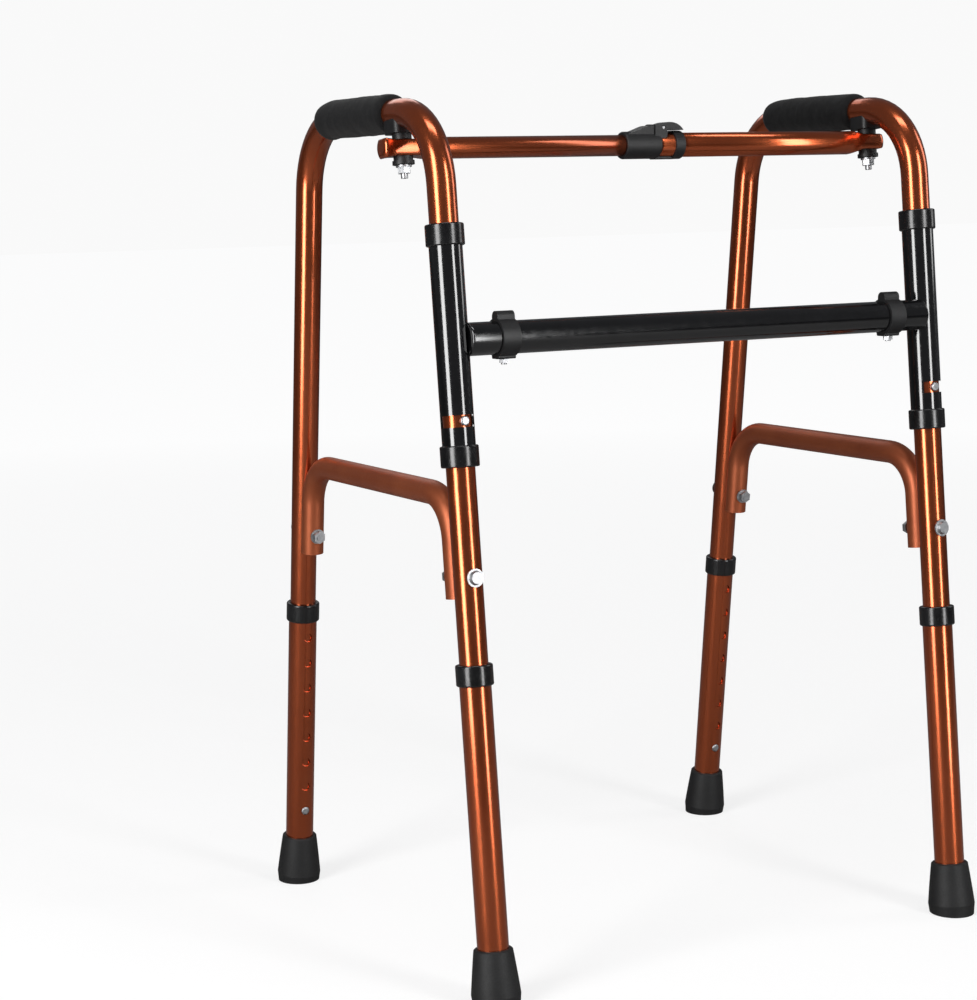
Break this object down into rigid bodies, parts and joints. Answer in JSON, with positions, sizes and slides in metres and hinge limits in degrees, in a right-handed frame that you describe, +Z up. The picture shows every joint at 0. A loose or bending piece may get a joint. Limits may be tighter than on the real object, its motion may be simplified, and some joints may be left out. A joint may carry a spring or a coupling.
{
  "type": "walking frame",
  "caption": "Folding walking frame in copper-coloured tube, with a black front crossbar, foam grips and height-adjustable legs.",
  "frame": {"origin": "on the floor, under the middle of the frame", "axes": "+Z up, +Y to the rear (the user's side), +X to the right seen from the front crossbar side"},
  "size_m": [0.548, 0.4642, 0.7822],
  "materials": {
    "anodised_tube": "gloss",
    "satin_brace": "satin",
    "black_gloss_paint": "gloss",
    "black_collar": "semi-gloss",
    "black_fitting": "satin",
    "grip_foam": "matte",
    "tip_rubber": "matte",
    "zinc_steel": "satin"
  },
  "bodies": {
    "hinge_frame": {"crossbar": "black_gloss_paint", "crossbar_saddles": "black_fitting", "crossbar_bolts": "zinc_steel", "left_hinge_sleeve": "black_gloss_paint", "left_sleeve_collars": "black_collar", "right_hinge_sleeve": "black_gloss_paint", "right_sleeve_collars": "black_collar"},
    "left_frame": {"left_frame_tube": "anodised_tube", "left_brace": "satin_brace", "left_brace_bolts": "zinc_steel", "left_brace_nuts": "zinc_steel", "left_grip": "grip_foam", "left_bar_spool": "black_fitting", "left_pivot_bolt": "zinc_steel", "left_pivot_nut": "zinc_steel", "left_stop_pin": "zinc_steel", "left_button_springs": "zinc_steel"},
    "right_frame": {"right_frame_tube": "anodised_tube", "right_brace": "satin_brace", "right_brace_bolts": "zinc_steel", "right_brace_nuts": "zinc_steel", "right_grip": "grip_foam", "right_bar_spool": "black_fitting", "right_pivot_bolt": "zinc_steel", "right_pivot_nut": "zinc_steel", "right_stop_pin": "zinc_steel", "right_button_springs": "zinc_steel"},
    "left_bar_half": {"bar_inner_tube": "anodised_tube", "left_bar_washer": "black_fitting"},
    "right_bar_half": {"bar_outer_tube": "anodised_tube", "right_bar_washer": "black_fitting", "clip_body": "black_fitting", "clip_pin": "zinc_steel"},
    "lever": {"clip_lever": "black_fitting"},
    "front_left_leg": {"front_left_lower_leg": "anodised_tube", "front_left_leg_collar": "black_collar", "front_left_tip": "tip_rubber"},
    "front_left_snap_button": {"front_left_button": "zinc_steel"},
    "front_right_leg": {"front_right_lower_leg": "anodised_tube", "front_right_leg_collar": "black_collar", "front_right_tip": "tip_rubber"},
    "front_right_snap_button": {"front_right_button": "zinc_steel"},
    "rear_left_leg": {"rear_left_lower_leg": "anodised_tube", "rear_left_leg_collar": "black_collar", "rear_left_tip": "tip_rubber"},
    "rear_left_snap_button": {"rear_left_button": "zinc_steel"},
    "rear_right_leg": {"rear_right_lower_leg": "anodised_tube", "rear_right_leg_collar": "black_collar", "rear_right_tip": "tip_rubber"},
    "rear_right_snap_button": {"rear_right_button": "zinc_steel"}
  },
  "joints": [
    {"name": "left_fold", "type": "hinge", "parent": "hinge_frame", "child": "left_frame", "pos_m": [-0.252, -0.14932, 0.573], "axis": [0, -0.1073, -0.9942], "range_deg": [0, 30]},
    {"name": "right_fold", "type": "hinge", "parent": "hinge_frame", "child": "right_frame", "pos_m": [0.252, -0.14932, 0.573], "axis": [0, 0.1073, 0.9942], "range_deg": [0, 30]},
    {"name": "left_bar_pivot", "type": "hinge", "parent": "left_frame", "child": "left_bar_half", "pos_m": [-0.252, -0.064, 0.735], "axis": [0, 0.1073, 0.9942], "range_deg": [0, 30]},
    {"name": "right_bar_pivot", "type": "hinge", "parent": "right_frame", "child": "right_bar_half", "pos_m": [0.252, -0.064, 0.735], "axis": [0, -0.1073, -0.9942], "range_deg": [0, 30]},
    {"name": "clip_lever_lift", "type": "hinge", "parent": "right_bar_half", "child": "lever", "pos_m": [0.012, -0.064, 0.7505], "axis": [0, -1, 0], "range_deg": [0, 60]},
    {"name": "front_left_leg_slide", "type": "slide", "parent": "left_frame", "child": "front_left_leg", "axis": [0, -0.1073, -0.9942], "range_m": [0, 0.1584]},
    {"name": "front_left_button_press", "type": "slide", "parent": "left_frame", "child": "front_left_snap_button", "axis": [0, -0.9942, 0.1073], "range_m": [0, 0.0045], "stiffness_N_per_m": 800, "springref_m": -0.002},
    {"name": "front_right_leg_slide", "type": "slide", "parent": "right_frame", "child": "front_right_leg", "axis": [0, -0.1073, -0.9942], "range_m": [0, 0.1584]},
    {"name": "front_right_button_press", "type": "slide", "parent": "right_frame", "child": "front_right_snap_button", "axis": [0, -0.9942, 0.1073], "range_m": [0, 0.0045], "stiffness_N_per_m": 800, "springref_m": -0.002},
    {"name": "rear_left_leg_slide", "type": "slide", "parent": "left_frame", "child": "rear_left_leg", "axis": [0, 0.1073, -0.9942], "range_m": [0, 0.1584]},
    {"name": "rear_left_button_press", "type": "slide", "parent": "left_frame", "child": "rear_left_snap_button", "axis": [0, 0.9942, 0.1073], "range_m": [0, 0.0045], "stiffness_N_per_m": 800, "springref_m": -0.002},
    {"name": "rear_right_leg_slide", "type": "slide", "parent": "right_frame", "child": "rear_right_leg", "axis": [0, 0.1073, -0.9942], "range_m": [0, 0.1584]},
    {"name": "rear_right_button_press", "type": "slide", "parent": "right_frame", "child": "rear_right_snap_button", "axis": [0, 0.9942, 0.1073], "range_m": [0, 0.0045], "stiffness_N_per_m": 800, "springref_m": -0.002}
  ],
  "couplings": [
    {"joint": "right_fold", "follows": "left_fold", "ratio": 1},
    {"joint": "left_bar_pivot", "follows": "left_fold", "ratio": 1},
    {"joint": "right_bar_pivot", "follows": "left_fold", "ratio": 1}
  ]
}
